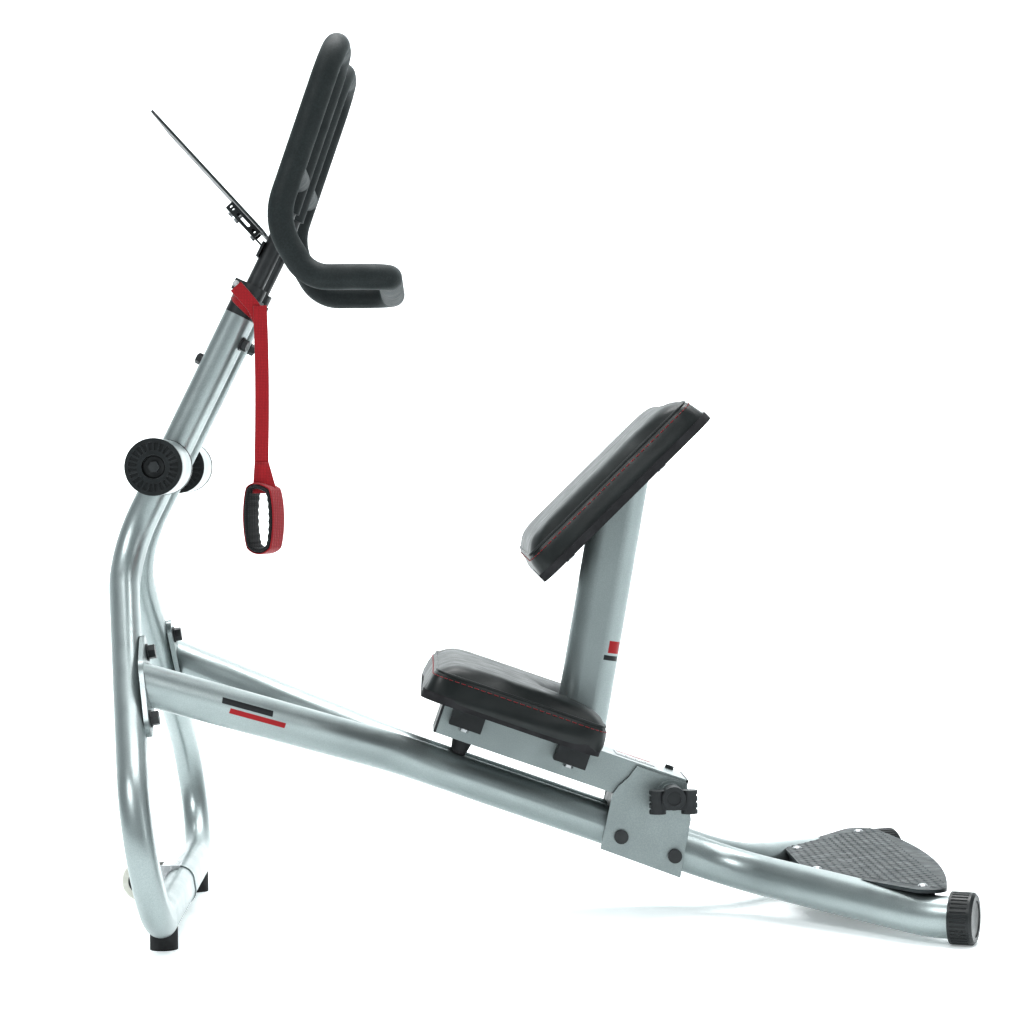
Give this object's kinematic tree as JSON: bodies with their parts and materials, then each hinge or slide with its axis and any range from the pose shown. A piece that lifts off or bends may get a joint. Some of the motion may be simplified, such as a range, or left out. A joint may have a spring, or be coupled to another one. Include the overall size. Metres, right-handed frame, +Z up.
{
  "type": "seated stretch trainer",
  "caption": "Seated stretching machine: looped handlebar, two cushions on a sliding carriage, ankle rollers, tread foot plate, hanging strap and transport wheel.",
  "frame": {"origin": "on the floor, under the middle of the overall box", "axes": "+X towards the foot plate (the rear), +Z up; the user's left is -Y"},
  "size_m": [1.0027, 0.723, 1.055],
  "materials": {
    "frame_tube": "satin silver powder coat",
    "plate_steel": "satin silver powder coat",
    "roller_tube": "satin silver powder coat",
    "bright_steel": "zinc-plated",
    "black_steel": "satin black coat",
    "black_plastic": "moulded, satin",
    "black_rubber": "moulded rubber",
    "foam": "closed-cell foam grip",
    "wheel_tyre": "cream polyurethane",
    "tread": "scale-pattern tread",
    "board": "plywood under black backing cloth",
    "cushion": "glossy black vinyl, red topstitch",
    "webbing": "woven red webbing",
    "lining": "ribbed padded lining",
    "placard": null,
    "scale": "white label with plain ticks"
  },
  "bodies": {
    "base": {"upright_left": "frame_tube", "upright_right": "frame_tube", "base_seam_ring": "frame_tube", "roller_axle": "bright_steel", "axle_screws": "bright_steel", "rubber_feet": "black_rubber", "wheel_fork": "bright_steel", "wheel_axle": "bright_steel", "main_tube_left": "frame_tube", "main_tube_right": "frame_tube", "leg_flanges": "plate_steel", "flange_bolts": "black_steel", "rear_caps": "black_plastic", "foot_plate": "tread", "foot_plate_bars": "black_steel", "foot_plate_screws": "bright_steel", "tube_bushes": "black_plastic", "post_collars": "bright_steel", "collar_screws": "bright_steel", "post_bolts": "black_steel", "handlebar": "black_steel", "handlebar_rungs": "black_steel", "grip_foam": "foam", "rung_foam": "foam", "strap_band": "webbing", "placard": "placard", "placard_bracket": "black_steel", "placard_crossbar": "black_steel", "placard_screws": "bright_steel", "side_plates": "plate_steel", "rail_glide": "black_plastic", "bracket_bolts": "black_steel", "clamp_bush": "plate_steel", "clamp_nut": "bright_steel"},
    "seat": {"rail": "plate_steel", "rail_end_caps": "black_plastic", "rail_bumpers": "black_rubber", "scale_strip": "scale", "rail_stop_screw": "black_steel", "pad_blocks": "black_plastic", "pad_bolts": "bright_steel", "lower_board": "board", "lower_pad": "cushion", "seat_post": "frame_tube", "post_plate": "black_steel", "upper_board": "board", "upper_pad": "cushion", "upper_screws": "bright_steel"},
    "clamp": {"clamp_spindle": "bright_steel", "clamp_handle": "black_plastic"},
    "wheel": {"wheel_hub": "black_plastic", "wheel_tyre": "wheel_tyre"},
    "roller_left": {"roller_sleeve_left": "roller_tube", "roller_caps_left": "black_plastic"},
    "roller_right": {"roller_sleeve_right": "roller_tube", "roller_caps_right": "black_plastic"},
    "strap": {"strap_webbing": "webbing", "cuff_shell": "webbing", "cuff_lining": "lining"}
  },
  "joints": [
    {"name": "seat_slide", "type": "slide", "parent": "base", "child": "seat", "axis": [0.9415, 0, -0.3371], "range_m": [0, 0.04]},
    {"name": "clamp_turn", "type": "hinge", "parent": "base", "child": "clamp", "pos_m": [0.1637, -0.056, 0.14919], "axis": [0, -1, 0], "range_deg": [-180, 180]},
    {"name": "wheel_spin", "type": "hinge", "parent": "base", "child": "wheel", "pos_m": [-0.4785, 0, 0.0475], "axis": [0, 1, 0], "continuous": true},
    {"name": "roller_left_spin", "type": "hinge", "parent": "base", "child": "roller_left", "pos_m": [-0.4375, -0.155, 0.5515], "axis": [0, 1, 0], "continuous": true},
    {"name": "roller_right_spin", "type": "hinge", "parent": "base", "child": "roller_right", "pos_m": [-0.4375, 0.155, 0.5515], "axis": [0, 1, 0], "continuous": true},
    {"name": "strap_swing", "type": "hinge", "parent": "base", "child": "strap", "pos_m": [-0.322, -0.085, 0.737], "axis": [0, 1, 0], "range_deg": [-20, 12]}
  ]
}
